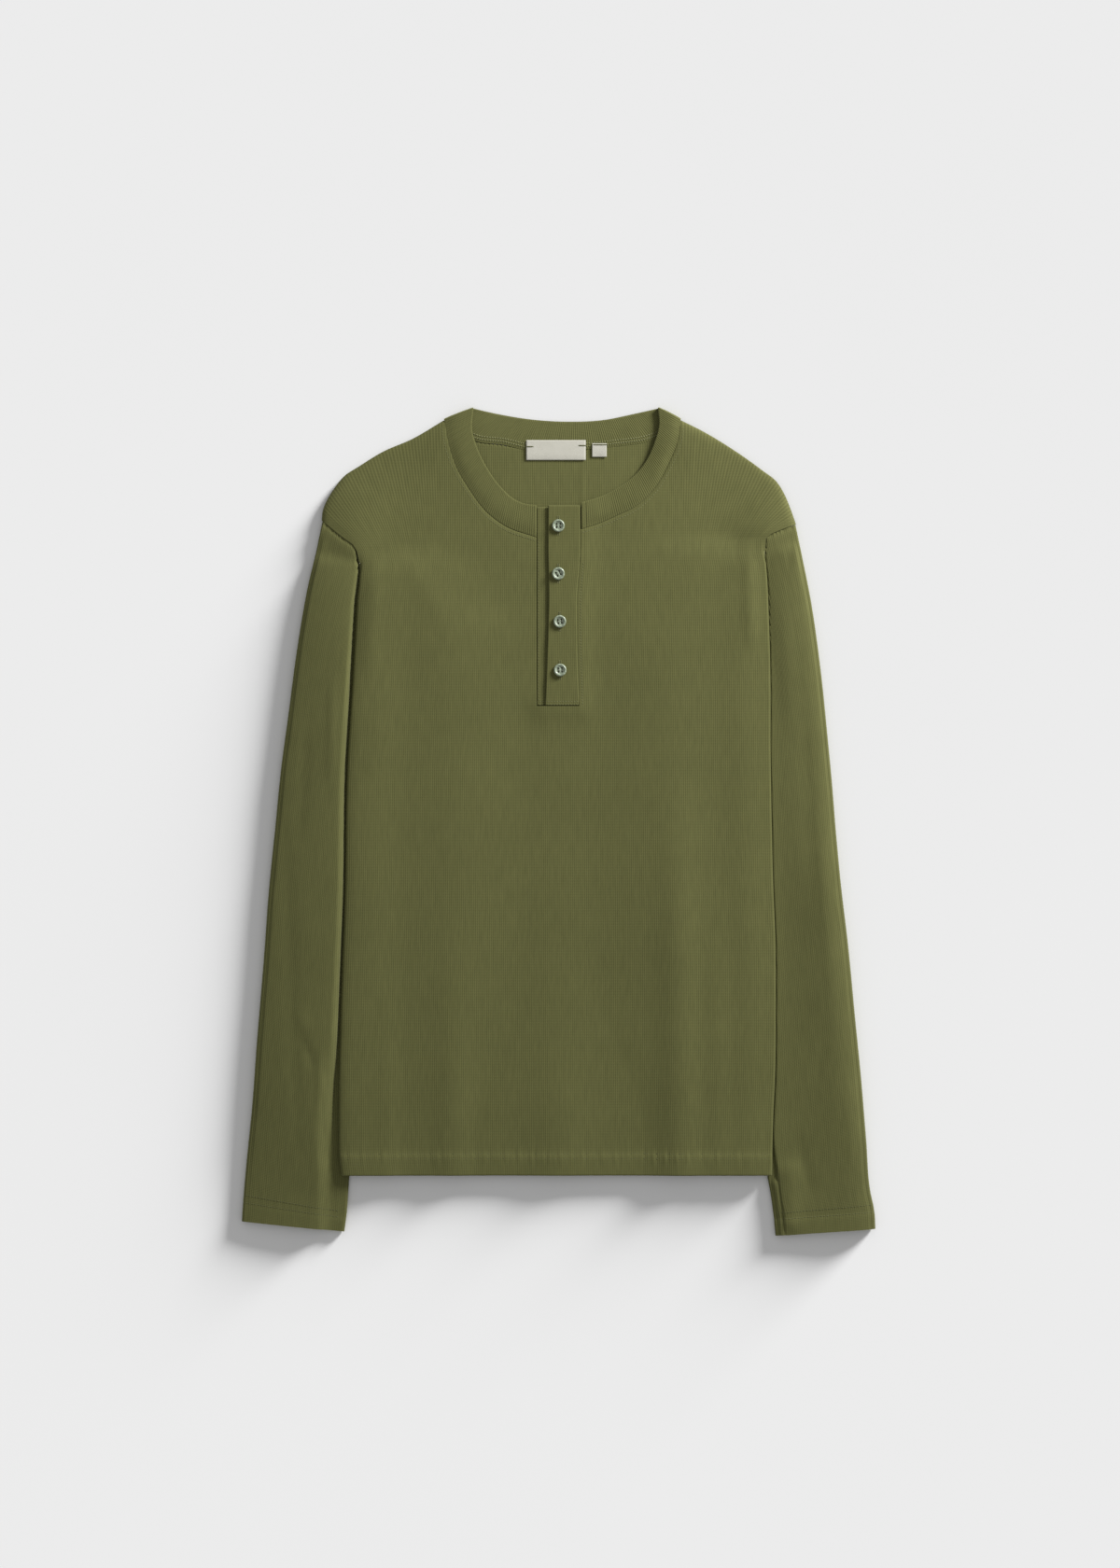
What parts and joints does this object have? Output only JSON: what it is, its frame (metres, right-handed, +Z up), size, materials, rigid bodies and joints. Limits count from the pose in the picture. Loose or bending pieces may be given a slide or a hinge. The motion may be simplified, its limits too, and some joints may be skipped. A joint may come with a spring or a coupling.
{
  "type": "henley shirt",
  "caption": "Long-sleeved rib knit henley laid flat, with a round banded neck and a short buttoned placket.",
  "frame": {"origin": "middle of the shirt's outline, on the surface it lies on", "axes": "+Z up out of the front of the shirt, +Y from hem to neck, +X to the right of the picture"},
  "size_m": [0.5772, 0.7563, 0.0106],
  "materials": {
    "rib_knit": "fine vertical rib knit in olive green cotton, matte with a soft sheen",
    "label_tape": "woven ivory tape, matte",
    "button": "pale grey-green pearl resin, glossy"
  },
  "bodies": {
    "root": {"back_panel": "rib_knit", "front_panel": "rib_knit", "sleeve_left": "rib_knit", "sleeve_right": "rib_knit", "neckband": "rib_knit", "placket_under": "rib_knit", "placket_top": "rib_knit", "neck_label": "label_tape", "size_label": "label_tape", "button_1": "button", "button_2": "button", "button_3": "button", "button_4": "button"}
  },
  "joints": []
}
